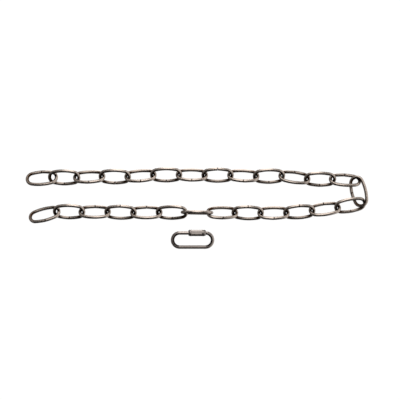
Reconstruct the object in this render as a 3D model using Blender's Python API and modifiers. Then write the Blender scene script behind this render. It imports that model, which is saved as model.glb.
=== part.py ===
"""Length of oval-link steel chain laid doubled on a floor, with its quick link unhooked beside it.

Metres, +Z up. The chain lies along X: link 1 is the open end at the far left, link 14 makes the turn
at the right, and link 27 is the open end at the near left.
"""

import math
from collections import namedtuple

import bmesh
import bpy
from mathutils import Matrix, Vector

MM = 0.001
OBJECT_NAME = "oval_link_chain"

# Oval link: round wire bent to four arcs, with an open butt seam in the middle of one long side
LINK_LENGTH = 38.1 * MM
LINK_WIDTH = 20.0 * MM
WIRE = 3.8 * MM
END_RADIUS = 7.0 * MM  # of the crown's centreline
SEAM_GAP = 0.4 * MM
CROWN_STEPS = 8
SIDE_STEPS = 3
HALF_SIDE_STEPS = 2  # of the seamed side, from the seam to the crown
CLEARANCE = 0.25 * MM  # between a crown and the next link's crown, where they would touch

# Quick link: a C of heavier wire, closed by a sleeve that screws over the gap. The sleeve is a turned bar
# with both ends rounded over, and six flats milled on its middle.
QUICK_LENGTH = 50.9 * MM
QUICK_WIDTH = 20.7 * MM
QUICK_WIRE = 4.2 * MM
QUICK_GAP = 6.5 * MM
STUB = 2.4 * MM  # of straight wire between the right bend and the gap
QUICK_END_STEPS = 10
SLEEVE_LENGTH = 20.3 * MM
SLEEVE_ROUND = 7.7 * MM
SLEEVE_FLATS = 6.5 * MM
SLEEVE_PAST_BEND = 0.4 * MM  # how far the closed sleeve reaches onto the right bend
SLEEVE_BORE = 5.1 * MM
SLEEVE_BORE_SIDES = 16
NOSE_LENGTH = 3.3 * MM  # rounded over, at the right end
NOSE_END_RADIUS = 2.9 * MM
NOSE_TO_FLATS = 4.5 * MM
HEEL_LENGTH = 2.6 * MM  # rounded over, at the left end
HEEL_END_RADIUS = 2.95 * MM
HEEL_TO_FLATS = 3.4 * MM
ROUNDED_STEPS = 5
CUTTER_SLOPE = 0.6 * MM  # length of the slope that the cutter leaves at each end of the flats
CUTTER_RISE = 1.0 * MM  # of that slope, at a corner
TURNED_SIDES = 24
CUT_PAST = 1.0 * MM  # how far a cutter reaches past what it cuts
MERGE = 0.01 * MM

WIRE_SIDES = 8  # what a bevel resolution of 2 gives
WIRE_RESOLUTION = 2

# Where the run of links starts, and the turn link and the quick link lie, before the whole is centred
FAR_RUN_START = Vector((-185.7, 25.3, 0)) * MM
NEAR_RUN_START = Vector((175.5, -6.8, 0)) * MM
TURN_CENTRE = Vector((185.3, 9.2, 8.8)) * MM
QUICK_CENTRE = Vector((-8.7, -47.2, 0)) * MM

# Sides of a link: its own -Y side is the near one, +Y the far one (on the turn link, left and right)
NEAR, FAR = -1, 1

# How each link lies. Degrees: heading turns it about Z, roll about its own length (+ lifts the far side)
# and dip about its own width (+ lifts the left end). Slack, in mm, is left to the link before it on top of
# the clearance; a little under nothing pulls the run tight where two tilted crowns still pass clear.
Lie = namedtuple("Lie", "heading roll dip slack seam")

FAR_RUN = (
    Lie(4, -20, 0, 0, FAR),
    Lie(-0.5, 28, 0, 3.6, NEAR),
    Lie(2, -36, 0, 0.6, NEAR),
    Lie(-0.5, 33, 0, 0.05, NEAR),
    Lie(4, -36, 0, -0.1, NEAR),
    Lie(0.5, 36, 0, -0.1, NEAR),
    Lie(-1, -36, 0, -0.1, NEAR),
    Lie(0, 36, 0, -0.1, FAR),
    Lie(-2.5, -36, 0, -0.1, NEAR),
    Lie(1, 34, 0, -0.1, NEAR),
    Lie(-7, -36, 0, 0.15, FAR),
    Lie(-1, 36, 0, 0, NEAR),
    Lie(-3.5, -36, 0, 0.7, FAR),
)
TURN = Lie(-78, 22, -4, 0, NEAR)
NEAR_RUN = (
    Lie(9.5, 34, 0, 0, NEAR),
    Lie(8, -36, 0, 0, FAR),
    Lie(4, 36, 0, -0.05, FAR),
    Lie(1, -36, 0, -0.05, NEAR),
    Lie(-1.5, 36, 0, -0.1, FAR),
    Lie(1, -38, 7, 0.1, NEAR),
    Lie(-1, 90, 0, 0.5, NEAR),
    Lie(0, 38, -7, 0.5, NEAR),
    Lie(0, -36, 0, 0.2, FAR),
    Lie(-1, 36, 0, -0.1, FAR),
    Lie(-0.5, -36, 0, -0.1, FAR),
    Lie(-1, 33, 0, 0.1, NEAR),
    Lie(14, -28, 0, 0.9, NEAR),
)

HALF_LENGTH = (LINK_LENGTH - WIRE) / 2
HALF_WIDTH = (LINK_WIDTH - WIRE) / 2
CROWN_CENTRE = HALF_LENGTH - END_RADIUS
# The side's arc meets the crown's without a corner
SIDE_RADIUS = (HALF_WIDTH**2 + CROWN_CENTRE**2 - END_RADIUS**2) / (2 * (HALF_WIDTH - END_RADIUS))
SIDE_ANGLE = math.atan2(CROWN_CENTRE, SIDE_RADIUS - HALF_WIDTH)
QUICK_BEND = (QUICK_WIDTH - QUICK_WIRE) / 2
QUICK_STRAIGHT = (QUICK_LENGTH - QUICK_WIRE) / 2 - QUICK_BEND  # from the middle to each bend
FACET_ANGLE = 2 * math.pi / WIRE_SIDES


def clear_scene():
    for obj in list(bpy.data.objects):
        bpy.data.objects.remove(obj, do_unlink=True)


def new_collection(name):
    collection = bpy.data.collections.new(name)
    bpy.context.scene.collection.children.link(collection)
    return collection


def new_material(name, color, roughness):
    material = bpy.data.materials.new(name)
    material.use_nodes = True
    shader = material.node_tree.nodes["Principled BSDF"]
    shader.inputs["Base Color"].default_value = (*color, 1)
    shader.inputs["Roughness"].default_value = roughness
    shader.inputs["Metallic"].default_value = 1.0
    return material


def section_radius(diameter):
    """Corner radius of the wire's polygon that has the area, and so the weight, of the round wire."""
    return diameter / 2 * math.sqrt(FACET_ANGLE / math.sin(FACET_ANGLE))


def arc(centre, radius, start, end, steps):
    """Points along an arc in the XY plane, without its first point."""
    turns = [start + (end - start) * i / steps for i in range(1, steps + 1)]
    return [centre + radius * Vector((math.cos(t), math.sin(t), 0)) for t in turns]


def link_outline(seam):
    """Centreline of one link, from one lip of its seam round to the other."""
    crown = math.pi / 2 - SIDE_ANGLE
    lip = math.asin(SEAM_GAP / 2 / SIDE_RADIUS)
    side = Vector((0, SIDE_RADIUS - HALF_WIDTH, 0))
    end = Vector((CROWN_CENTRE, 0, 0))
    down = -math.pi / 2
    points = [side + SIDE_RADIUS * Vector((math.sin(lip), -math.cos(lip), 0))]
    points += arc(side, SIDE_RADIUS, down + lip, down + SIDE_ANGLE, HALF_SIDE_STEPS)
    points += arc(end, END_RADIUS, -crown, crown, CROWN_STEPS)
    points += arc(-side, SIDE_RADIUS, crown, crown + 2 * SIDE_ANGLE, SIDE_STEPS)
    points += arc(-end, END_RADIUS, math.pi - crown, math.pi + crown, CROWN_STEPS)
    points += arc(side, SIDE_RADIUS, down - SIDE_ANGLE, down - lip, HALF_SIDE_STEPS)
    return points if seam == NEAR else [Matrix.Rotation(math.pi, 3, "Z") @ p for p in points]


def wire_object(name, points, diameter, tilt, material, collection):
    """Wire with a polygonal section along the points; tilt turns the section about the wire."""
    curve = bpy.data.curves.new(name, "CURVE")
    curve.dimensions = "3D"
    curve.bevel_depth = section_radius(diameter)
    curve.bevel_resolution = WIRE_RESOLUTION
    curve.use_fill_caps = True
    spline = curve.splines.new("POLY")
    spline.points.add(len(points) - 1)
    for target, point in zip(spline.points, points):
        target.co = (*point, 1)
        target.tilt = tilt
    curve.materials.append(material)
    obj = bpy.data.objects.new(name, curve)
    collection.objects.link(obj)
    return obj


def world_corners(obj):
    graph = bpy.context.evaluated_depsgraph_get()
    evaluated = obj.evaluated_get(graph)
    mesh = evaluated.to_mesh()
    corners = [evaluated.matrix_world @ v.co for v in mesh.vertices]
    evaluated.to_mesh_clear()
    return corners


def seat_on_floor(obj):
    obj.location.z -= min(corner.z for corner in world_corners(obj))


def lay_link(number, lie, material, collection):
    """One link at the origin, turned as it lies, with a facet of its low side turned level."""
    tilt = FACET_ANGLE / 2 - math.radians(abs(lie.roll))
    link = wire_object(f"link_{number:02d}", link_outline(lie.seam), WIRE, tilt, material, collection)
    link.rotation_euler = [math.radians(angle) for angle in (lie.roll, lie.dip, lie.heading)]
    return link


def own_x(obj):
    return obj.rotation_euler.to_matrix() @ Vector((1, 0, 0))


def lay_run(numbers, lies, start, sense, material, collection):
    """Hook a row of links crown to crown, from its start towards +X (sense 1) or -X (sense -1)."""
    step = 2 * section_radius(WIRE) + CLEARANCE
    before = None
    for number, lie in zip(numbers, lies):
        link = lay_link(number, lie, material, collection)
        if before is None:
            link.location = start
        else:
            along = own_x(before) + own_x(link)
            along.z = 0
            centre = before.location + sense * HALF_LENGTH * (own_x(before) + own_x(link))
            centre -= sense * (step + lie.slack * MM) * along.normalized()
            link.location = (centre.x, centre.y, 0)
        seat_on_floor(link)
        before = link


def quick_outline():
    """Centreline of the quick link, from the threaded end left of the gap round to the stub."""
    left, right = Vector((-QUICK_STRAIGHT, 0, 0)), Vector((QUICK_STRAIGHT, 0, 0))
    out = Vector((0, QUICK_BEND, 0))
    stub_end = right + out - Vector((STUB, 0, 0))
    points = [stub_end - Vector((QUICK_GAP, 0, 0)), left + out]
    points += arc(left, QUICK_BEND, math.pi / 2, math.pi * 3 / 2, QUICK_END_STEPS)
    points.append(right - out)
    points += arc(right, QUICK_BEND, -math.pi / 2, math.pi / 2, QUICK_END_STEPS)
    points.append(stub_end)
    return points


def turned_solid(name, profile, sides, collection, start=0.0):
    """Closed solid from (x, radius) steps, turned about X with a Screw modifier from an angle off +Z."""
    mesh = bpy.data.meshes.new(name)
    work = bmesh.new()
    corners = [work.verts.new((x, r * math.sin(start), r * math.cos(start))) for x, r in profile]
    for a, b in zip(corners, corners[1:]):
        work.edges.new((a, b))
    work.to_mesh(mesh)
    work.free()
    obj = bpy.data.objects.new(name, mesh)
    collection.objects.link(obj)
    screw = obj.modifiers.new("turn", "SCREW")
    screw.axis = "X"
    screw.steps = screw.render_steps = sides
    screw.use_merge_vertices = True
    screw.merge_threshold = MERGE
    return obj


def rounded_end(end, sense, length, end_radius):
    """(x, radius) steps from an end of the sleeve up to its full radius, which the curve meets smoothly."""
    full = SLEEVE_ROUND / 2
    drop = full - end_radius
    curve = (length**2 + drop**2) / (2 * drop)
    steps = [length * i / ROUNDED_STEPS for i in range(ROUNDED_STEPS + 1)]
    return [(end - sense * s, full - curve + math.sqrt(curve**2 - (length - s) ** 2)) for s in steps]


def hide_guide(obj):
    obj.hide_render = True
    obj.display_type = "WIRE"


def quick_sleeve(material, collection, guides):
    """Sleeve along X about its own origin: a rounded bar with six flats, one of them up, and a bore."""
    half = SLEEVE_LENGTH / 2
    nose = rounded_end(half, 1, NOSE_LENGTH, NOSE_END_RADIUS)
    heel = rounded_end(-half, -1, HEEL_LENGTH, HEEL_END_RADIUS)
    bar_profile = [(half, 0), *nose, *reversed(heel), (-half, 0)]
    sleeve = turned_solid("quick_link_sleeve", bar_profile, TURNED_SIDES, collection)
    sleeve.data.materials.append(material)

    # What the cutter leaves: a hexagon that flares out at both ends
    reach = half + CUT_PAST
    corner = SLEEVE_FLATS / 2 / math.cos(math.pi / 6)
    flare = corner + CUTTER_RISE
    right, left = half - NOSE_TO_FLATS, -half + HEEL_TO_FLATS
    flats_profile = (
        (reach, 0),
        (reach, flare),
        (right + CUTTER_SLOPE, flare),
        (right, corner),
        (left, corner),
        (left - CUTTER_SLOPE, flare),
        (-reach, flare),
        (-reach, 0),
    )
    flats = turned_solid("sleeve_flats", flats_profile, 6, guides, start=math.pi / 6)
    bore_radius = SLEEVE_BORE / 2
    bore_profile = ((reach, 0), (reach, bore_radius), (-reach, bore_radius), (-reach, 0))
    bore = turned_solid("sleeve_bore", bore_profile, SLEEVE_BORE_SIDES, guides)
    for cutter, operation in ((flats, "INTERSECT"), (bore, "DIFFERENCE")):
        hide_guide(cutter)
        cut = sleeve.modifiers.new(operation.lower(), "BOOLEAN")
        cut.operation = operation
        cut.object = cutter
        cut.solver = "EXACT"
        cutter.parent = sleeve
    return sleeve


def lay_quick_link(body_material, sleeve_material, collection, guides):
    """The quick link lies on its plain side and on the round of the sleeve, which tips it a little."""
    facet_depth = section_radius(QUICK_WIRE) * math.cos(FACET_ANGLE / 2)
    tip = math.asin((SLEEVE_ROUND / 2 - facet_depth) / (2 * QUICK_BEND))
    tilt = FACET_ANGLE / 2 - tip
    body = wire_object("quick_link_body", quick_outline(), QUICK_WIRE, tilt, body_material, collection)
    body.rotation_euler = (tip, 0, 0)
    body.location = QUICK_CENTRE
    body.location.z = facet_depth + QUICK_BEND * math.sin(tip)

    sleeve = quick_sleeve(sleeve_material, collection, guides)
    sleeve_middle = Vector((QUICK_STRAIGHT + SLEEVE_PAST_BEND - SLEEVE_LENGTH / 2, QUICK_BEND, 0))
    sleeve.location = body.location + Matrix.Rotation(tip, 3, "X") @ sleeve_middle


def centre_on_floor(objects):
    """Put the object's origin at the middle of its box, on the floor."""
    bpy.context.view_layer.update()
    corners = [corner for obj in objects for corner in world_corners(obj)]
    low = Vector([min(corner[k] for corner in corners) for k in range(3)])
    high = Vector([max(corner[k] for corner in corners) for k in range(3)])
    for obj in objects:
        obj.location -= Vector(((low.x + high.x) / 2, (low.y + high.y) / 2, low.z))
    bpy.context.view_layer.update()


def main():
    clear_scene()
    parts = new_collection(OBJECT_NAME)
    guides = new_collection("sleeve_cutters")
    link_steel = new_material("plated link wire", (0.23, 0.20, 0.175), 0.34)
    quick_steel = new_material("plated quick link wire", (0.24, 0.215, 0.19), 0.32)
    sleeve_steel = new_material("plated sleeve", (0.26, 0.235, 0.21), 0.38)

    count = len(FAR_RUN)
    lay_run(range(1, count + 1), FAR_RUN, FAR_RUN_START, 1, link_steel, parts)
    turn = lay_link(count + 1, TURN, link_steel, parts)
    turn.location = TURN_CENTRE
    lay_run(range(count + 2, 2 * count + 2), NEAR_RUN, NEAR_RUN_START, -1, link_steel, parts)
    lay_quick_link(quick_steel, sleeve_steel, parts, guides)
    centre_on_floor(list(parts.objects))


main()
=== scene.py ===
import math

import bpy
import numpy as np
from mathutils import Matrix, Vector


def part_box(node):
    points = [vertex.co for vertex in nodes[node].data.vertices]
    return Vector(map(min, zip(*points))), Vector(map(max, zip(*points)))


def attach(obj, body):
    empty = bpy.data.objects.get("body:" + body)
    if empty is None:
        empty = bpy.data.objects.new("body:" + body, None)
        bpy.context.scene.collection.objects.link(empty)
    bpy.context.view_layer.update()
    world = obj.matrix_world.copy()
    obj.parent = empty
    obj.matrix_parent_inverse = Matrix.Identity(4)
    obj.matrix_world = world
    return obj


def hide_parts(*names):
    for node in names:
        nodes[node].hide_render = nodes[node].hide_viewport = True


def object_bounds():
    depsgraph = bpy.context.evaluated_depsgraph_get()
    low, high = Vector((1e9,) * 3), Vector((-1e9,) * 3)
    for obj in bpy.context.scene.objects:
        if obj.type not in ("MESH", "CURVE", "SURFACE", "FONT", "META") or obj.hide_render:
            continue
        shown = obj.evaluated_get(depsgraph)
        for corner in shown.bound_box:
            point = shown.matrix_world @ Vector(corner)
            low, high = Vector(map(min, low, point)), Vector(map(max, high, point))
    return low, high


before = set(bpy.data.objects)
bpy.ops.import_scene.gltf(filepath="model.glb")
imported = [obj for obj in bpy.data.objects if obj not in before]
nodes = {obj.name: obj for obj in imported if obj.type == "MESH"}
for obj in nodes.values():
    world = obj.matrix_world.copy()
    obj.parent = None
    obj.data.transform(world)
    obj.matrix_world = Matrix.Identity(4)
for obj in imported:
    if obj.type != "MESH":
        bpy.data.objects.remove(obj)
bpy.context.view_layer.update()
mm = 0.001


def linear(hexColour):
    # an sRGB hex colour as the linear one that the shaders use
    parts = [int(hexColour[i:i + 2], 16) / 255 for i in (1, 3, 5)]
    return (*[c / 12.92 if c <= 0.04045 else ((c + 0.055) / 1.055) ** 2.4 for c in parts], 1)


def addNode(tree, kind, feeds=None, **settings):
    # One node with its settings; each feed is a value, a socket, or a node whose first output is meant.
    # A Map Range reads the range from its socket 1 to 2, and gives the one from its socket 3 to 4.
    node = tree.nodes.new(kind)
    for name, value in settings.items():
        setattr(node, name, value)
    for key, feed in (feeds or {}).items():
        if isinstance(feed, bpy.types.Node):
            feed = feed.outputs[0]
        if isinstance(feed, bpy.types.NodeSocket):
            tree.links.new(feed, node.inputs[key])
        else:
            node.inputs[key].default_value = feed
    return node


maths = "ShaderNodeMath"
noiseMiddle = 0.5  # what a noise texture gives on average


def newTree(name, sockets):
    # an empty Geometry Nodes tree with named inputs, and the outputs of its input node
    tree = bpy.data.node_groups.new(name, "GeometryNodeTree")
    for label, kind in sockets.items():
        tree.interface.new_socket(label, in_out="INPUT", socket_type="NodeSocket" + kind)
    tree.interface.new_socket("Geometry", in_out="OUTPUT", socket_type="NodeSocketGeometry")
    return tree, addNode(tree, "NodeGroupInput").outputs


def addObject(name, data):
    thing = bpy.data.objects.new(name, data)
    bpy.context.scene.collection.objects.link(thing)
    return thing


def growMesh(name, seedMesh, tree, values):
    # runs the tree on the seed mesh and keeps what grows from it as a plain mesh at the origin
    seed = addObject(name + "_seed", seedMesh)
    modifier = seed.modifiers.new(tree.name, "NODES")
    modifier.node_group = tree
    for item in tree.interface.items_tree:
        if item.in_out == "INPUT" and item.name in values:
            modifier[item.identifier] = values[item.name]
    graph = bpy.context.evaluated_depsgraph_get()
    mesh = bpy.data.meshes.new_from_object(seed.evaluated_get(graph))
    mesh.name = name
    bpy.data.objects.remove(seed)
    return addObject(name, mesh)


# The camera of the photograph: almost straight down, from a little on the near side

shot = {
    "aim": Vector((4.53, 9.99, 0)) * mm,
    "elevation": 84.5,
    "distance": 1061.4 * mm,
    "fieldOfView": 25,
}

cameraData = bpy.data.cameras.new("shopCamera")
cameraData.lens = cameraData.sensor_width / 2 / math.tan(math.radians(shot["fieldOfView"] / 2))
camera = addObject("shopCamera", cameraData)
lean = math.radians(90 - shot["elevation"])
camera.location = shot["aim"] + shot["distance"] * Vector((0, -math.sin(lean), math.cos(lean)))
camera.rotation_euler = (lean, 0, 0)
bpy.context.scene.camera = camera
print("camera set")


# Plated steel

def makePewter(name, look):
    # Antique pewter plating over drawn steel: a dark film, rubbed back in the tumbler. The high sides
    # come out a warm satin grey, and the film stays nearly black where nothing could rub it. On the
    # links and the rod the film also stands for painted shade, inside the bows and bends and on the
    # inner faces.
    material = bpy.data.materials.new(name)
    material.use_nodes = True
    tree = material.node_tree
    tree.nodes.clear()

    # place on the wire pulled straight: across it, across it, and along it, in metres
    straight = addNode(tree, "ShaderNodeAttribute", attribute_name="straightWire")
    film = addNode(tree, "ShaderNodeAttribute", attribute_name="film")
    tone = addNode(tree, "ShaderNodeAttribute", attribute_name="tone")

    # Cloudy patches of film, a few millimetres across
    cloudPlace = addNode(tree, "ShaderNodeMapping", {
        "Vector": straight.outputs["Vector"], "Scale": (1, 1, look["cloudStretch"])})
    cloud = addNode(tree, "ShaderNodeTexNoise", {
        "Vector": cloudPlace, "Scale": 1 / look["cloud"], "Detail": 3.0, "Roughness": 0.6})
    # Die lines along the wire. Real ones are about 0.03 mm apart; these are 0.3 mm apart, so that
    # they show
    linePlace = addNode(tree, "ShaderNodeMapping", {
        "Vector": straight.outputs["Vector"], "Scale": (1, 1, look["lineStretch"])})
    lines = addNode(tree, "ShaderNodeTexNoise", {
        "Vector": linePlace, "Scale": 1 / look["dieLines"], "Detail": 2.0, "Roughness": 0.5})
    # Grain of the plating, which breaks up the gloss, also coarser than real
    grain = addNode(tree, "ShaderNodeTexNoise", {
        "Vector": straight.outputs["Vector"], "Scale": 1 / look["grain"],
        "Detail": 2.0, "Roughness": 0.55})

    # how much film is left, on the links and the rod partly painted shade: what the shape keeps, more
    # or less of it by the clouds and the die lines
    clouded = addNode(tree, maths, {0: cloud, 1: noiseMiddle}, operation="SUBTRACT")
    lined = addNode(tree, maths, {0: lines, 1: noiseMiddle}, operation="SUBTRACT")
    patchy = addNode(tree, maths, {
        0: clouded, 1: look["cloudDepth"], 2: film.outputs["Fac"]}, operation="MULTIPLY_ADD")
    left = addNode(tree, maths, {
        0: lined, 1: look["lineDepth"], 2: patchy}, operation="MULTIPLY_ADD", use_clamp=True)

    # sockets 6 and 7 are the mix's two colours; each link is a little lighter or darker by its tone
    colour = addNode(tree, "ShaderNodeMix", {
        0: left, 6: linear(look["rubbed"]), 7: linear(look["filmed"])}, data_type="RGBA")
    level = addNode(tree, maths, {
        0: tone.outputs["Fac"], 1: look["toneSpread"], 2: 1.0}, operation="MULTIPLY_ADD")
    toned = addNode(tree, "ShaderNodeVectorMath", {
        0: colour.outputs[2], "Scale": level}, operation="SCALE")

    gloss = addNode(tree, "ShaderNodeMapRange", {
        0: left, 3: look["roughRubbed"], 4: look["roughFilmed"]})
    glossy = addNode(tree, maths, {
        0: addNode(tree, maths, {0: grain, 1: noiseMiddle}, operation="SUBTRACT"),
        1: look["grainGloss"], 2: gloss}, operation="MULTIPLY_ADD", use_clamp=True)

    lineBump = addNode(tree, "ShaderNodeBump", {
        "Height": lines, "Strength": look["bump"], "Distance": look["lineHeight"]})
    grainBump = addNode(tree, "ShaderNodeBump", {
        "Height": grain, "Strength": look["bump"], "Distance": look["grainHeight"],
        "Normal": lineBump})

    shader = addNode(tree, "ShaderNodeBsdfPrincipled", {
        "Base Color": toned, "Metallic": 1.0, "Roughness": glossy, "Normal": grainBump})
    addNode(tree, "ShaderNodeOutputMaterial", {"Surface": shader})
    return material


# The filmed colour is nearly black because on the links and the rod it also paints the shade inside the
# bows and bends
linkLook = {
    "rubbed": "#BAAFA6", "filmed": "#33200F",
    "cloud": 5 * mm, "dieLines": 0.3 * mm, "grain": 0.25 * mm,
    "cloudStretch": 0.45, "lineStretch": 0.012,  # the smaller, the longer the pattern is along the wire
    "cloudDepth": 0.18, "lineDepth": 0.2, "toneSpread": 0.08,
    "roughRubbed": 0.2, "roughFilmed": 0.35, "grainGloss": 0.1,
    "bump": 0.4, "lineHeight": 0.02 * mm, "grainHeight": 0.015 * mm,
}
rodLook = {
    **linkLook, "rubbed": "#B6ADA7", "filmed": "#1C1310", "roughRubbed": 0.14, "cloudDepth": 0.2,
}
sleeveLook = {
    **linkLook, "rubbed": "#9F9A95", "filmed": "#3E2822", "roughRubbed": 0.24, "cloudDepth": 0.25,
}

linkPewter = makePewter("tumbled antique pewter on link wire", linkLook)
rodPewter = makePewter("tumbled antique pewter on bent rod", rodLook)
sleevePewter = makePewter("antique pewter on turned bar", sleeveLook)
print("materials made")


# Where the bent wires lie, read from their CAD nodes

def layOf(node):
    # Points, triangles and their normals of a flat bent wire, and its axes: long, cross and upright.
    # The axes are those of its surface's spread, to which a triangle's middle adds nine times as much
    # as a corner.
    mesh = node.data
    mesh.calc_loop_triangles()
    points = np.array([v.co for v in mesh.vertices], float)
    corners = points[np.array([t.vertices for t in mesh.loop_triangles])]
    turned = np.cross(corners[:, 1] - corners[:, 0], corners[:, 2] - corners[:, 0])
    area = np.linalg.norm(turned, axis=1)  # twice each triangle's, which weighs them as well
    middles = corners.mean(axis=1)
    centroid = (area[:, None] * middles).sum(0) / area.sum()
    arms = corners - centroid
    spread = sum(np.einsum("i,ij,ik->jk", area, arms[:, k], arms[:, k]) for k in range(3))
    inwards = middles - centroid
    spread += 9 * np.einsum("i,ij,ik->jk", area, inwards, inwards)
    axes = np.linalg.eigh(spread)[1][:, ::-1].T
    if axes[2][2] < 0:
        axes[2] *= -1
    if axes[0][0] < 0:
        axes[0] *= -1
    axes[1] = np.cross(axes[2], axes[0])
    return points, corners, turned / area[:, None], axes


def middleOf(points, axes, ends=0.0):
    # the middle of the extents along the axes; across, only the points past this share of the half
    # length count
    local = points @ axes.T
    middle = (local.max(0) + local.min(0)) / 2
    reach = local[:, 0].max() - middle[0]
    bows = local[np.abs(local[:, 0] - middle[0]) > ends * reach]
    middle[1] = (bows[:, 1].max() + bows[:, 1].min()) / 2
    return middle @ axes


# The oval links

linkSizes = {
    "length": 38.1 * mm, "width": 20.0 * mm, "wire": 3.8 * mm, "bow": 7.0 * mm,
    "seam": 0.1 * mm,  # butt seam between the sheared ends, pressed nearly shut
    "lipRound": 0.3 * mm, "lipStep": 0.08 * mm, "lipPeak": 0.12 * mm, "lipReach": 7 * mm,
    "rings": 128, "sides": 24, "crowding": 0.9,  # rings gather towards the lips of the seam
    "film": 0.15, "bowFilmAndShade": 1.05, "lipFilm": 1.0,  # how much dark film is left, in the bows also painted shade; 1 or more is all of it
    "filmAndShadeStarts": 0.5, "filmAndShadeFull": -0.5,  # on faces that look this far outwards, from 1 out to -1 in
    "sideShare": 0.3,  # share of the bow's film and painted shade on the inside of the long sides
    "bowStarts": 0.6, "bowFull": 0.6,  # of the way to the bow's centre, and of its radius past it
    "lipFilmFull": 0.4 * mm, "lipFilmEnds": 0.8 * mm,  # this far from the middle of the seam
    "patternApart": 3.0,  # metres at most that chance moves a link's pattern along its wire
    "seed": 4,
}
# The wire's middle line is four arcs that run into one another: two flat sides and two tight bows
halfWidth = (linkSizes["width"] - linkSizes["wire"]) / 2
bowCentre = (linkSizes["length"] - linkSizes["wire"]) / 2 - linkSizes["bow"]
sideRadius = (halfWidth**2 + bowCentre**2 - linkSizes["bow"]**2) / (2 * (halfWidth - linkSizes["bow"]))
sideAngle = math.atan2(bowCentre, sideRadius - halfWidth)

linkTree, given = newTree("ovalLinks", {
    "Geometry": "Geometry", "Half Width": "Float", "Side Radius": "Float", "Side Angle": "Float",
    "Bow Radius": "Float", "Bow Centre": "Float", "Wire Radius": "Float", "Seam": "Float",
    "Lip Round": "Float", "Lip Step": "Float", "Lip Peak": "Float", "Lip Reach": "Float",
    "Film": "Float", "Bow Film And Shade": "Float", "Lip Film": "Float",
    "Crowding": "Float", "Rings": "Int", "Sides": "Int", "Seed": "Int", "Material": "Material"})


def pathOfLink(tree, given):
    # the centreline of one link as a curve, with its own x, y and way along the wire kept on it
    sideRun = addNode(tree, maths, {
        0: given["Side Radius"], 1: given["Side Angle"]}, operation="MULTIPLY")
    bowTurn = addNode(tree, maths, {0: math.pi / 2, 1: given["Side Angle"]}, operation="SUBTRACT")
    quarter = addNode(tree, maths, {
        0: bowTurn, 1: given["Bow Radius"], 2: sideRun}, operation="MULTIPLY_ADD")
    half = addNode(tree, maths, {0: quarter, 1: 2.0}, operation="MULTIPLY")

    # the way along from the middle of the seam, with the rings crowded towards both lips
    line = addNode(tree, "GeometryNodeCurvePrimitiveLine", {"End": (1, 0, 0)})
    rings = addNode(tree, "GeometryNodeResampleCurve", {
        "Curve": line, "Count": given["Rings"]}, mode="COUNT")
    factor = addNode(tree, "GeometryNodeSplineParameter")
    angle = addNode(tree, maths, {0: factor, 1: 2 * math.pi}, operation="MULTIPLY")
    sine = addNode(tree, maths, {0: angle}, operation="SINE")
    pull = addNode(tree, maths, {0: sine, 1: given["Crowding"]}, operation="MULTIPLY")
    pulled = addNode(tree, maths, {
        0: pull, 1: -1 / (2 * math.pi), 2: factor}, operation="MULTIPLY_ADD")
    whole = addNode(tree, maths, {0: half, 1: 2.0}, operation="MULTIPLY")
    wireLength = addNode(tree, maths, {0: whole, 1: given["Seam"]}, operation="SUBTRACT")
    halfSeam = addNode(tree, maths, {0: given["Seam"], 1: 0.5}, operation="MULTIPLY")
    along = addNode(tree, maths, {
        0: pulled, 1: wireLength, 2: halfSeam}, operation="MULTIPLY_ADD")
    # kept before the rings move, because the factor follows the curve's shape
    rings = addNode(tree, "GeometryNodeStoreNamedAttribute", {
        "Geometry": rings, "Name": "way", "Value": along}, data_type="FLOAT", domain="POINT")
    along = addNode(tree, "GeometryNodeInputNamedAttribute", {"Name": "way"}, data_type="FLOAT")

    # folded into one quarter: which end, which side, how far round the side's arc and round the bow
    toSeam = addNode(tree, maths, {0: along, 1: half}, operation="PINGPONG")
    folded = addNode(tree, maths, {0: toSeam, 1: quarter}, operation="PINGPONG")
    ahead = addNode(tree, maths, {0: half, 1: along}, operation="SUBTRACT")
    end = addNode(tree, maths, {0: ahead}, operation="SIGN")
    over = addNode(tree, maths, {0: toSeam, 1: quarter}, operation="SUBTRACT")
    side = addNode(tree, maths, {0: over}, operation="SIGN")
    reached = addNode(tree, maths, {0: folded, 1: given["Side Radius"]}, operation="DIVIDE")
    sideTurn = addNode(tree, maths, {0: reached, 1: given["Side Angle"]}, operation="MINIMUM")
    beyond = addNode(tree, maths, {0: folded, 1: sideRun}, operation="SUBTRACT")
    onBow = addNode(tree, maths, {0: beyond, 1: 0.0}, operation="MAXIMUM")
    bowPart = addNode(tree, maths, {0: onBow, 1: given["Bow Radius"]}, operation="DIVIDE")
    turn = addNode(tree, maths, {0: bowPart, 1: sideTurn}, operation="ADD")

    # x = (R - r) sin(side turn) + r sin(turn); y is the same with cosines, less R - half width
    step = addNode(tree, maths, {
        0: given["Side Radius"], 1: given["Bow Radius"]}, operation="SUBTRACT")
    base = addNode(tree, maths, {
        0: given["Half Width"], 1: given["Side Radius"]}, operation="SUBTRACT")
    place = {}
    for axis, wave, start in (("x", "SINE", 0.0), ("y", "COSINE", base)):
        sideWave = addNode(tree, maths, {0: sideTurn}, operation=wave)
        onSide = addNode(tree, maths, {
            0: sideWave, 1: step, 2: start}, operation="MULTIPLY_ADD")
        bowWave = addNode(tree, maths, {0: turn}, operation=wave)
        place[axis] = addNode(tree, maths, {
            0: bowWave, 1: given["Bow Radius"], 2: onSide}, operation="MULTIPLY_ADD")
    x = addNode(tree, maths, {0: place["x"], 1: end}, operation="MULTIPLY")
    y = addNode(tree, maths, {0: place["y"], 1: side}, operation="MULTIPLY")
    path = addNode(tree, "GeometryNodeSetPosition", {
        "Geometry": rings, "Position": addNode(tree, "ShaderNodeCombineXYZ", {0: x, 1: y})})
    path = addNode(tree, "GeometryNodeStoreNamedAttribute", {
        "Geometry": path, "Name": "own",
        "Value": addNode(tree, "ShaderNodeCombineXYZ", {0: x, 1: y, 2: along})},
        data_type="FLOAT_VECTOR", domain="POINT")
    lipWay = addNode(tree, maths, {0: toSeam, 1: halfSeam}, operation="SUBTRACT")
    return path, lipWay, half


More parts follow.
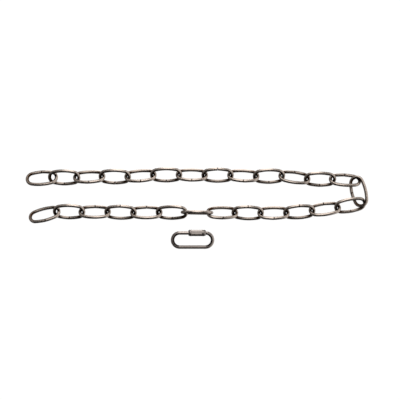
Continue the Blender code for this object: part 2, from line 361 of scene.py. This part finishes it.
def sweepWire(tree, given, path, lipWay):
    # a round wire along the path, with the edge of each sheared end rounded over
    short = addNode(tree, "ShaderNodeMapRange", {
        0: lipWay, 1: 0.0, 2: given["Lip Round"], 3: 1.0, 4: 0.0})
    square = addNode(tree, maths, {0: short, 1: short}, operation="MULTIPLY")
    rest = addNode(tree, maths, {0: 1.0, 1: square}, operation="SUBTRACT")
    root = addNode(tree, maths, {0: rest}, operation="SQRT")
    loss = addNode(tree, maths, {0: root, 1: 1.0}, operation="SUBTRACT")
    radius = addNode(tree, maths, {
        0: loss, 1: given["Lip Round"], 2: given["Wire Radius"]}, operation="MULTIPLY_ADD")
    circle = addNode(tree, "GeometryNodeCurvePrimitiveCircle", {
        "Resolution": given["Sides"], "Radius": 1.0})
    circle = addNode(tree, "GeometryNodeStoreNamedAttribute", {
        "Geometry": circle, "Name": "round", "Value": addNode(tree, "GeometryNodeInputPosition")},
        data_type="FLOAT_VECTOR", domain="POINT")
    wire = addNode(tree, "GeometryNodeCurveToMesh", {
        "Curve": path, "Profile Curve": circle, "Scale": radius, "Fill Caps": True})
    return addNode(tree, "GeometryNodeSetShadeSmooth", {"Geometry": wire, "Shade Smooth": True})


def finishLinks(tree, given, wire, half):
    # one wire on each place, its seam a little out of true, and what its plating needs kept on the mesh
    chance = addNode(tree, "FunctionNodeRandomValue", {
        "Min": (-1, -1, -1), "Max": (1, 1, 1), "ID": addNode(tree, "GeometryNodeInputIndex"),
        "Seed": given["Seed"]}, data_type="FLOAT_VECTOR")
    places = addNode(tree, "GeometryNodeStoreNamedAttribute", {
        "Geometry": given["Geometry"], "Name": "chance", "Value": chance},
        data_type="FLOAT_VECTOR", domain="POINT")
    lie = addNode(tree, "GeometryNodeInputNamedAttribute", {"Name": "lie"}, data_type="QUATERNION")
    links = addNode(tree, "GeometryNodeInstanceOnPoints", {
        "Points": places, "Instance": wire, "Rotation": lie})
    links = addNode(tree, "GeometryNodeRealizeInstances", {"Geometry": links})

    ownPlace, kept, ring = [
        addNode(tree, "GeometryNodeInputNamedAttribute", {"Name": name}, data_type="FLOAT_VECTOR")
        for name in ("own", "chance", "round")]
    own = addNode(tree, "ShaderNodeSeparateXYZ", {0: ownPlace}).outputs
    luck = addNode(tree, "ShaderNodeSeparateXYZ", {0: kept}).outputs

    # sheared lips never meet quite true: a gap of its own, a step across the link and a slight peak
    fromSeam = addNode(tree, maths, {0: own[2], 1: half}, operation="PINGPONG")
    near = addNode(tree, "ShaderNodeMapRange", {
        0: fromSeam, 1: 0.0, 2: given["Lip Reach"], 3: 1.0, 4: 0.0}, interpolation_type="SMOOTHSTEP")
    end = addNode(tree, maths, {0: own[0]}, operation="SIGN")
    push = addNode(tree, maths, {0: near, 1: end}, operation="MULTIPLY")
    push = addNode(tree, maths, {0: push, 1: given["Lip Step"]}, operation="MULTIPLY")
    peak = addNode(tree, maths, {0: near, 1: given["Lip Peak"]}, operation="MULTIPLY")
    shift = addNode(tree, "ShaderNodeCombineXYZ", {
        0: addNode(tree, maths, {0: push, 1: luck[0]}, operation="MULTIPLY"),
        1: addNode(tree, maths, {0: peak, 1: -1.0}, operation="MULTIPLY"),
        2: addNode(tree, maths, {0: push, 1: luck[2]}, operation="MULTIPLY")})
    links = addNode(tree, "GeometryNodeSetPosition", {
        "Geometry": links, "Offset": addNode(tree, "FunctionNodeRotateVector", {0: shift, 1: lie})})

    # the film of plating that the tumbler left: most of it inside the bows and at the seam's lips.
    # Inside the bows and on the inner faces of the long sides it is also painted shade
    lowEnd = addNode(tree, maths, {0: given["Bow Centre"], 1: -1.0}, operation="MULTIPLY")
    onAxis = addNode(tree, "ShaderNodeClamp", {
        "Value": own[0], "Min": lowEnd, "Max": given["Bow Centre"]})
    off = addNode(tree, maths, {0: own[0], 1: onAxis}, operation="SUBTRACT")
    outward = addNode(tree, "ShaderNodeVectorMath", {
        0: addNode(tree, "ShaderNodeCombineXYZ", {0: off, 1: own[1]})}, operation="NORMALIZE")
    facing = addNode(tree, "ShaderNodeVectorMath", {
        0: addNode(tree, "FunctionNodeRotateVector", {0: outward, 1: lie}),
        1: addNode(tree, "GeometryNodeInputNormal")}, operation="DOT_PRODUCT").outputs["Value"]
    inside = addNode(tree, "ShaderNodeMapRange", {
        0: facing, 1: linkSizes["filmAndShadeStarts"], 2: linkSizes["filmAndShadeFull"], 3: 0.0, 4: 1.0})
    atEnd = addNode(tree, "ShaderNodeMapRange", {
        0: addNode(tree, maths, {0: own[0]}, operation="ABSOLUTE"),
        1: addNode(tree, maths, {
            0: given["Bow Centre"], 1: linkSizes["bowStarts"]}, operation="MULTIPLY"),
        2: addNode(tree, maths, {
            0: given["Bow Radius"], 1: linkSizes["bowFull"], 2: given["Bow Centre"]},
            operation="MULTIPLY_ADD"),
        3: linkSizes["sideShare"], 4: 1.0}, interpolation_type="SMOOTHSTEP")
    # painted shade: the inward faces of the bows and long sides are darkened as if shaded, on top of
    # the film left there
    hiddenAndShaded = addNode(tree, maths, {0: inside, 1: atEnd}, operation="MULTIPLY")
    film = addNode(tree, maths, {
        0: hiddenAndShaded, 1: given["Bow Film And Shade"], 2: given["Film"]}, operation="MULTIPLY_ADD")
    atLip = addNode(tree, "ShaderNodeMapRange", {
        0: fromSeam, 1: linkSizes["lipFilmFull"], 2: linkSizes["lipFilmEnds"], 3: 1.0, 4: 0.0})
    film = addNode(tree, maths, {0: atLip, 1: given["Lip Film"], 2: film}, operation="MULTIPLY_ADD")

    # and the place on the straight wire, each link's far from the others so that no patterns match
    away = addNode(tree, maths, {
        0: luck[1], 1: linkSizes["patternApart"], 2: own[2]}, operation="MULTIPLY_ADD")
    across = addNode(tree, "ShaderNodeVectorMath", {
        0: ring, "Scale": given["Wire Radius"]}, operation="SCALE")
    straight = addNode(tree, "ShaderNodeVectorMath", {
        0: across, 1: addNode(tree, "ShaderNodeCombineXYZ", {2: away})}, operation="ADD")
    for name, value, kind in (("film", film, "FLOAT"), ("tone", luck[1], "FLOAT"),
                              ("straightWire", straight, "FLOAT_VECTOR")):
        links = addNode(tree, "GeometryNodeStoreNamedAttribute", {
            "Geometry": links, "Name": name, "Value": value}, data_type=kind, domain="POINT")
    painted = addNode(tree, "GeometryNodeSetMaterial", {
        "Geometry": links, "Material": given["Material"]})
    addNode(tree, "NodeGroupOutput", {0: painted})


path, lipWay, half = pathOfLink(linkTree, given)
finishLinks(linkTree, given, sweepWire(linkTree, given, path, lipWay), half)

# one point for each link, turned as its CAD node lies, with the seam on the side where that has it
bowShare = 0.7  # past this share of its half length, a link is bow
capFacing = 0.98  # a triangle of a sheared end looks along the link
capReach = 1 * mm  # and lies this near its middle
linkNodes = sorted(name for name in nodes if name.startswith("link_"))
places, lies = [], []
for name in linkNodes:
    points, corners, normals, axes = layOf(nodes[name])
    centre = middleOf(points, axes, ends=bowShare)
    caps = corners.mean(axis=1)[np.abs(normals @ axes[0]) > capFacing] - centre
    caps = caps[np.abs(caps @ axes[0]) < capReach]
    if (caps @ axes[1]).mean() > 0:
        axes[0], axes[1] = -axes[0], -axes[1]
    places.append(centre)
    lies.append(Matrix(axes.T.tolist()).to_quaternion())
seeds = bpy.data.meshes.new("linkPlaces")
seeds.from_pydata(places, [], [])
seeds.attributes.new("lie", "QUATERNION", "POINT").data.foreach_set(
    "value", [part for lie in lies for part in lie])

ovalLinks = growMesh("oval_links", seeds, linkTree, {
    "Half Width": halfWidth, "Side Radius": sideRadius, "Side Angle": sideAngle,
    "Bow Radius": linkSizes["bow"], "Bow Centre": bowCentre, "Wire Radius": linkSizes["wire"] / 2,
    "Seam": linkSizes["seam"], "Lip Round": linkSizes["lipRound"], "Lip Step": linkSizes["lipStep"],
    "Lip Peak": linkSizes["lipPeak"], "Lip Reach": linkSizes["lipReach"],
    "Film": linkSizes["film"], "Bow Film And Shade": linkSizes["bowFilmAndShade"], "Lip Film": linkSizes["lipFilm"],
    "Crowding": linkSizes["crowding"], "Rings": linkSizes["rings"], "Sides": linkSizes["sides"],
    "Seed": linkSizes["seed"], "Material": linkPewter})
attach(ovalLinks, "chain")
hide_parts(*linkNodes)
print(f"oval links: {len(linkNodes)}, {len(ovalLinks.data.polygons)} faces")


# The quick link's body: a bent rod with a thread on both sides of the gap

rodSizes = {
    "length": 50.9 * mm, "width": 20.7 * mm, "rod": 4.2 * mm, "gap": 6.5 * mm,
    "longThread": 11 * mm, "shortThread": 2.4 * mm,
    "pitch": 0.8 * mm, "depth": 0.4 * mm, "runOut": 1.2 * mm, "tipRound": 0.35 * mm,
    "step": 0.9 * mm, "ringsPerPitch": 10, "sides": 32,
    "film": 0.3, "bendFilmAndShade": 0.9, "rootFilm": 0.5,  # how much dark film is left, as on the links; in the bends it is also painted shade
    "filmAndShadeStarts": 0.3, "filmAndShadeFull": -0.5, "sideShare": 0.5,
}
bend = (rodSizes["width"] - rodSizes["rod"]) / 2  # radius of its middle line in both bends
straight = (rodSizes["length"] - rodSizes["rod"]) / 2 - bend  # from the middle to each bend
shortEnd = straight - rodSizes["shortThread"]
longEnd = shortEnd - rodSizes["gap"]
rodRuns = (longEnd + straight, math.pi * bend, 2 * straight, math.pi * bend, rodSizes["shortThread"])
rodLength = sum(rodRuns)


def placeOnRod(along):
    # where the rod's middle line is, this far along from the long threaded end
    run, rest = 0, along
    while run < len(rodRuns) - 1 and rest > rodRuns[run]:
        rest -= rodRuns[run]
        run += 1
    turn = rest / bend
    return (
        (longEnd - rest, bend), (-straight - bend * math.sin(turn), bend * math.cos(turn)),
        (-straight + rest, -bend), (straight + bend * math.sin(turn), -bend * math.cos(turn)),
        (straight - rest, bend))[run]


def rodPoints():
    # the places of the rings: many where the thread is cut, a few on the plain rod
    fine = rodSizes["pitch"] / rodSizes["ringsPerPitch"]
    long, short = rodSizes["longThread"], rodLength - rodSizes["shortThread"]
    stations = [
        *np.arange(0, long, fine),
        *np.linspace(long, short, round((short - long) / rodSizes["step"])),
        *np.arange(short + fine, rodLength - fine / 2, fine), rodLength]
    mesh = bpy.data.meshes.new("rodLine")
    mesh.from_pydata(
        [(*placeOnRod(s), 0) for s in stations], [(i, i + 1) for i in range(len(stations) - 1)], [])
    ends = [min(s, rodLength - s) for s in stations]
    # how deep the thread is cut, from 0 to 1: full on both tips, and running out towards the plain rod
    runOut = rodSizes["runOut"]
    cut = [max(min(1, (long - s) / runOut), min(1, (s - short) / runOut + 1), 0) for s in stations]
    tip = [1 - math.sqrt(1 - max(0, 1 - e / rodSizes["tipRound"]) ** 2) for e in ends]
    for name, values in (("along", stations), ("cut", cut), ("tip", tip)):
        mesh.attributes.new(name, "FLOAT", "POINT").data.foreach_set("value", values)
    return mesh


rodTree, given = newTree("threadedRod", {
    "Geometry": "Geometry", "Rod Radius": "Float", "Half Straight": "Float", "Pitch": "Float",
    "Thread Depth": "Float", "Tip Round": "Float", "Sides": "Int",
    "Film": "Float", "Bend Film And Shade": "Float", "Root Film": "Float",
    "Place": "Vector", "Turn": "Vector", "Material": "Material"})


def sweepRod(tree, given):
    # the rod along its line, with the thread cut in and the tips rounded over
    line = addNode(tree, "GeometryNodeStoreNamedAttribute", {
        "Geometry": given["Geometry"], "Name": "core",
        "Value": addNode(tree, "GeometryNodeInputPosition")},
        data_type="FLOAT_VECTOR", domain="POINT")
    curve = addNode(tree, "GeometryNodeMeshToCurve", {"Mesh": line})
    circle = addNode(tree, "GeometryNodeCurvePrimitiveCircle", {
        "Resolution": given["Sides"], "Radius": 1.0})
    circle = addNode(tree, "GeometryNodeStoreNamedAttribute", {
        "Geometry": circle, "Name": "round", "Value": addNode(tree, "GeometryNodeInputPosition")},
        data_type="FLOAT_VECTOR", domain="POINT")
    rod = addNode(tree, "GeometryNodeCurveToMesh", {
        "Curve": curve, "Profile Curve": circle, "Scale": given["Rod Radius"], "Fill Caps": True})
    rod = addNode(tree, "GeometryNodeSetShadeSmooth", {"Geometry": rod, "Shade Smooth": True})

    along, cut, tip = [
        addNode(tree, "GeometryNodeInputNamedAttribute", {"Name": name}, data_type="FLOAT")
        for name in ("along", "cut", "tip")]
    core, ring = [
        addNode(tree, "GeometryNodeInputNamedAttribute", {"Name": name}, data_type="FLOAT_VECTOR")
        for name in ("core", "round")]
    ringParts = addNode(tree, "ShaderNodeSeparateXYZ", {0: ring}).outputs
    angle = addNode(tree, maths, {0: ringParts[1], 1: ringParts[0]}, operation="ARCTAN2")
    turns = addNode(tree, maths, {0: along, 1: given["Pitch"]}, operation="DIVIDE")
    phase = addNode(tree, maths, {0: turns, 1: 2 * math.pi, 2: angle}, operation="MULTIPLY_ADD")
    wave = addNode(tree, maths, {
        0: addNode(tree, maths, {0: phase}, operation="COSINE"), 1: 0.5, 2: 0.5},
        operation="MULTIPLY_ADD")
    groove = addNode(tree, maths, {0: wave, 1: cut}, operation="MULTIPLY")
    rounded = addNode(tree, maths, {0: tip, 1: given["Tip Round"]}, operation="MULTIPLY")
    sunk = addNode(tree, maths, {
        0: groove, 1: given["Thread Depth"], 2: rounded}, operation="MULTIPLY_ADD")
    arm = addNode(tree, "ShaderNodeVectorMath", {
        0: addNode(tree, "GeometryNodeInputPosition"), 1: core}, operation="SUBTRACT")
    inward = addNode(tree, "ShaderNodeVectorMath", {
        0: addNode(tree, "ShaderNodeVectorMath", {0: arm}, operation="NORMALIZE"),
        "Scale": addNode(tree, maths, {0: sunk, 1: -1.0}, operation="MULTIPLY")}, operation="SCALE")
    rod = addNode(tree, "GeometryNodeSetPosition", {"Geometry": rod, "Offset": inward})
    return rod, along, groove, ring, core


def finishRod(tree, given, rod, along, groove, ring, core):
    # film inside the bends, there and on the inner faces also painted shade, and film in the thread's
    # roots, then the rod goes to its place
    place = addNode(tree, "ShaderNodeSeparateXYZ", {0: core}).outputs
    lowEnd = addNode(tree, maths, {0: given["Half Straight"], 1: -1.0}, operation="MULTIPLY")
    onAxis = addNode(tree, "ShaderNodeClamp", {
        "Value": place[0], "Min": lowEnd, "Max": given["Half Straight"]})
    off = addNode(tree, maths, {0: place[0], 1: onAxis}, operation="SUBTRACT")
    outward = addNode(tree, "ShaderNodeVectorMath", {
        0: addNode(tree, "ShaderNodeCombineXYZ", {0: off, 1: place[1]})}, operation="NORMALIZE")
    facing = addNode(tree, "ShaderNodeVectorMath", {
        0: outward, 1: addNode(tree, "GeometryNodeInputNormal")},
        operation="DOT_PRODUCT").outputs["Value"]
    inside = addNode(tree, "ShaderNodeMapRange", {
        0: facing, 1: rodSizes["filmAndShadeStarts"], 2: rodSizes["filmAndShadeFull"], 3: 0.0, 4: 1.0})
    atBend = addNode(tree, "ShaderNodeMapRange", {
        0: addNode(tree, maths, {0: off}, operation="ABSOLUTE"),
        1: 0.0, 2: given["Rod Radius"], 3: rodSizes["sideShare"], 4: 1.0})
    # painted shade: the inward faces in the bends and along the sides are darkened as if shaded, on top
    # of the film left there
    hiddenAndShaded = addNode(tree, maths, {0: inside, 1: atBend}, operation="MULTIPLY")
    film = addNode(tree, maths, {
        0: hiddenAndShaded, 1: given["Bend Film And Shade"], 2: given["Film"]}, operation="MULTIPLY_ADD")
    film = addNode(tree, maths, {
        0: groove, 1: given["Root Film"], 2: film}, operation="MULTIPLY_ADD")
    across = addNode(tree, "ShaderNodeVectorMath", {
        0: ring, "Scale": given["Rod Radius"]}, operation="SCALE")
    pulled = addNode(tree, "ShaderNodeVectorMath", {
        0: across, 1: addNode(tree, "ShaderNodeCombineXYZ", {2: along})}, operation="ADD")
    for name, value, kind in (("film", film, "FLOAT"), ("straightWire", pulled, "FLOAT_VECTOR")):
        rod = addNode(tree, "GeometryNodeStoreNamedAttribute", {
            "Geometry": rod, "Name": name, "Value": value}, data_type=kind, domain="POINT")
    rod = addNode(tree, "GeometryNodeTransform", {
        "Geometry": rod, "Translation": given["Place"],
        "Rotation": addNode(tree, "FunctionNodeEulerToRotation", {0: given["Turn"]})})
    rod = addNode(tree, "GeometryNodeRealizeInstances", {"Geometry": rod})
    painted = addNode(tree, "GeometryNodeSetMaterial", {
        "Geometry": rod, "Material": given["Material"]})
    addNode(tree, "NodeGroupOutput", {0: painted})


finishRod(rodTree, given, *sweepRod(rodTree, given))

# the rod's own X is the world's, tipped into the plane that it lies in
points, *_, axes = layOf(nodes["quick_link_body"])
axes[0] = (1, 0, 0) - axes[2][0] * axes[2]
axes[0] /= np.linalg.norm(axes[0])
axes[1] = np.cross(axes[2], axes[0])
rodPlace = Vector(middleOf(points, axes))
rodTurn = Vector(Matrix(axes.T.tolist()).to_euler())
quickBody = growMesh("quick_link_rod", rodPoints(), rodTree, {
    "Rod Radius": rodSizes["rod"] / 2, "Half Straight": straight, "Pitch": rodSizes["pitch"],
    "Thread Depth": rodSizes["depth"], "Tip Round": rodSizes["tipRound"], "Sides": rodSizes["sides"],
    "Film": rodSizes["film"], "Bend Film And Shade": rodSizes["bendFilmAndShade"], "Root Film": rodSizes["rootFilm"],
    "Place": rodPlace, "Turn": rodTurn, "Material": rodPewter})
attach(quickBody, "chain")
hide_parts("quick_link_body")
print(f"quick link's rod: {len(quickBody.data.polygons)} faces")


# The quick link's sleeve: a turned and bored bar with rounded ends, six milled flats and a thread

sleeveSizes = {
    "length": 20.3 * mm, "round": 7.7 * mm, "flats": 6.5 * mm, "corner": 0.25 * mm,
    "nose": 3.3 * mm, "noseEnd": 2.9 * mm, "noseToFlats": 4.5 * mm,
    "heel": 2.6 * mm, "heelEnd": 2.95 * mm, "heelToFlats": 3.4 * mm,
    "slope": 1.44,  # rise of the run-outs at the ends of the flats, for each mm along
    "bore": 2.43 * mm, "thread": 0.17 * mm, "pitch": 0.8 * mm, "mouth": 0.4 * mm,
    "step": 0.1 * mm, "sides": 144, "softEdge": 0.07 * mm, "sharpAngle": 35,
    "film": 0.32, "flatEndFilm": 0.35, "flatEndReach": 0.4 * mm, "boreFilm": 0.6,
}


def turnedRadius(along, half):
    # the turned bar's radius, this far from its middle
    full = sleeveSizes["round"] / 2
    reach, end = ("nose", "noseEnd") if along > 0 else ("heel", "heelEnd")
    into = sleeveSizes[reach] - (half - abs(along))
    drop = full - sleeveSizes[end]
    curve = (sleeveSizes[reach] ** 2 + drop**2) / (2 * drop)
    return full if into < 0 else full - curve + math.sqrt(curve**2 - into**2)


def flatRadius(angle, rise):
    # the milled hexagon's radius in this direction, its corners rounded
    flat, corner = sleeveSizes["flats"] / 2, sleeveSizes["corner"]
    fromFlat = abs((angle + math.pi / 6) % (math.pi / 3) - math.pi / 6)
    fromCorner = math.pi / 6 - fromFlat
    centre = (flat - corner) / math.cos(math.pi / 6)
    blend = math.atan2(corner / 2, centre + corner * math.cos(math.pi / 6))
    if fromCorner < blend:
        aside = centre * math.sin(fromCorner)
        radius = centre * math.cos(fromCorner) + math.sqrt(corner**2 - aside**2)
    else:
        radius = flat / math.cos(fromFlat)
    return radius * (flat + rise) / flat


def sleeveRings():
    # each point's way along, angle, radius and film: heel to nose outside, then back through the bore
    half = sleeveSizes["length"] / 2
    left, right = -half + sleeveSizes["heelToFlats"], half - sleeveSizes["noseToFlats"]
    stations = np.linspace(-half, half, round(sleeveSizes["length"] / sleeveSizes["step"]) + 1)
    angles = [2 * math.pi * k / sleeveSizes["sides"] for k in range(sleeveSizes["sides"])]
    soft = sleeveSizes["softEdge"]
    rings = []
    for along in stations:
        beyond = max(left - along, along - right, 0)
        turned = turnedRadius(along, half)
        nearEnd = max(0, 1 - beyond / sleeveSizes["flatEndReach"]) if beyond else 0
        for angle in angles:
            milled = flatRadius(angle, beyond * sleeveSizes["slope"])
            low = min(turned, milled)
            radius = low - soft * math.log(sum(math.exp((low - r) / soft) for r in (turned, milled)))
            film = sleeveSizes["film"] + nearEnd * (milled < turned) * sleeveSizes["flatEndFilm"]
            rings.append((along, angle, radius, film))
    for along in reversed(stations):
        # the thread runs out in a small countersink at each mouth
        mouth = max(0, sleeveSizes["mouth"] - (half - abs(along)))
        depth = 0 if mouth else sleeveSizes["thread"]
        for angle in angles:
            wave = math.cos(2 * math.pi * along / sleeveSizes["pitch"] + angle)
            radius = sleeveSizes["bore"] + mouth - depth * wave
            rings.append((along, angle, radius, sleeveSizes["boreFilm"]))
    return rings, len(angles)


def makeSleeve(name, middle):
    # one closed skin, outside and bore, with its film and its place on the straightened bar kept on it
    rings, sides = sleeveRings()
    count = len(rings) // sides
    mesh = bpy.data.meshes.new(name)
    faces = []
    for row in range(count):
        for k in range(sides):
            a, b = row * sides + k, row * sides + (k + 1) % sides
            after = ((row + 1) % count) * sides
            faces.append((a, after + k, after + (k + 1) % sides, b))
    mesh.from_pydata([
        middle + Vector((along, radius * math.sin(angle), radius * math.cos(angle)))
        for along, angle, radius, film in rings], [], faces)
    mesh.shade_smooth()
    mesh.set_sharp_from_angle(angle=math.radians(sleeveSizes["sharpAngle"]))
    mesh.attributes.new("film", "FLOAT", "POINT").data.foreach_set("value", [
        film for along, angle, radius, film in rings])
    # the lathe's marks run round the bar, so the pattern's long way is round it too
    mesh.attributes.new("straightWire", "FLOAT_VECTOR", "POINT").data.foreach_set("vector", [
        part for along, angle, radius, film in rings
        for part in (along, radius, (1 - abs(angle / math.pi - 1)) * radius * math.pi)])
    mesh.materials.append(sleevePewter)
    return addObject(name, mesh)


low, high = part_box("quick_link_sleeve")
quickSleeve = makeSleeve("quick_link_hex_sleeve", (low + high) / 2)
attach(quickSleeve, "sleeve")
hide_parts("quick_link_sleeve")
print(f"quick link's sleeve: {len(quickSleeve.data.polygons)} faces")


# The stage: a white table top under a long bank of soft light, from overhead to the far side

stageLook = {
    "table": "#FFFFFF", "tableSize": 6.0, "tableGlow": 0.96, "tableShade": 0.12, "tableRough": 0.9,
    "softbox": (2.0, 0.4), "softPlace": (0.0, 1.0, 0.7), "softPower": 3, "softWhite": "#FFFCF9",
    "roomWhite": "#FFFCFA", "bankFar": 2.75, "bankNear": 0.04, "bankReach": (-0.6, 0.45),
    "bankSides": (0.13, 0.17), "besideBank": 0.05,
    "fill": 1.0, "leftFill": 0.16, "fillReach": (0.2, 0.7),
}

tableMesh = bpy.data.meshes.new("tableTop")
reach = stageLook["tableSize"] / 2
tableCorners = [(-reach, -reach, 0), (reach, -reach, 0), (reach, reach, 0), (-reach, reach, 0)]
tableMesh.from_pydata(tableCorners, [], [(0, 1, 2, 3)])
tableTop = addObject("tableTop", tableMesh)
tableTop.location.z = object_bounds()[0].z
# A back-lit white table: it glows by itself, so the lamp leaves only faint shadows on it
tableWhite = bpy.data.materials.new("back-lit white acrylic")
tableWhite.use_nodes = True
acrylic = tableWhite.node_tree.nodes["Principled BSDF"]
white = linear(stageLook["table"])
shade = [part * stageLook["tableShade"] for part in white[:3]]
acrylic.inputs["Base Color"].default_value = (*shade, 1)
acrylic.inputs["Roughness"].default_value = stageLook["tableRough"]
acrylic.inputs["Specular IOR Level"].default_value = 0.0
acrylic.inputs["Emission Color"].default_value = white
acrylic.inputs["Emission Strength"].default_value = stageLook["tableGlow"]
tableMesh.materials.append(tableWhite)
tableTop.visible_glossy = False  # so the wires mirror the room's light from below too

softbox = addObject("softbox", bpy.data.lights.new("softbox", "AREA"))
softbox.data.shape = "RECTANGLE"
softbox.data.size, softbox.data.size_y = stageLook["softbox"]
softbox.data.energy = stageLook["softPower"]
softbox.data.color = linear(stageLook["softWhite"])[:3]
softbox.location = stageLook["softPlace"]
beam = shot["aim"] - softbox.location
softbox.rotation_euler = beam.to_track_quat("-Z", "Y").to_euler()

# The room is a long bank of light from overhead to the far side, dim beside it and dark on the
# near side, with a softer fill on the right and a weak one on the left
room = bpy.data.worlds.new("studioRoom")
bpy.context.scene.world = room
room.use_nodes = True
air = room.node_tree
outlook = addNode(air, "ShaderNodeTexCoord").outputs["Generated"]
way = addNode(air, "ShaderNodeSeparateXYZ", {0: outlook}).outputs

bank = addNode(air, "ShaderNodeMapRange", {
    0: way["Y"], 1: stageLook["bankReach"][0], 2: stageLook["bankReach"][1],
    3: stageLook["bankNear"], 4: stageLook["bankFar"]}, interpolation_type="SMOOTHSTEP")
sideways = addNode(air, maths, {0: way["X"]}, operation="ABSOLUTE")
fade = addNode(air, "ShaderNodeMapRange", {
    0: sideways, 1: stageLook["bankSides"][0], 2: stageLook["bankSides"][1],
    3: 1.0, 4: stageLook["besideBank"]}, interpolation_type="SMOOTHSTEP")
fill = addNode(air, "ShaderNodeMapRange", {
    0: way["X"], 1: stageLook["fillReach"][0], 2: stageLook["fillReach"][1],
    3: 0.0, 4: stageLook["fill"]}, interpolation_type="SMOOTHSTEP")
leftFill = addNode(air, "ShaderNodeMapRange", {
    0: way["X"], 1: -stageLook["fillReach"][0], 2: -stageLook["fillReach"][1],
    3: 0.0, 4: stageLook["leftFill"]}, interpolation_type="SMOOTHSTEP")
fills = addNode(air, maths, {0: fill, 1: leftFill}, operation="ADD")
strength = addNode(air, maths, {0: bank, 1: fade, 2: fills}, operation="MULTIPLY_ADD")
air.nodes["Background"].inputs["Color"].default_value = linear(stageLook["roomWhite"])
air.links.new(strength.outputs[0], air.nodes["Background"].inputs["Strength"])
bpy.context.scene.view_settings.view_transform = "Standard"
print("stage lit")
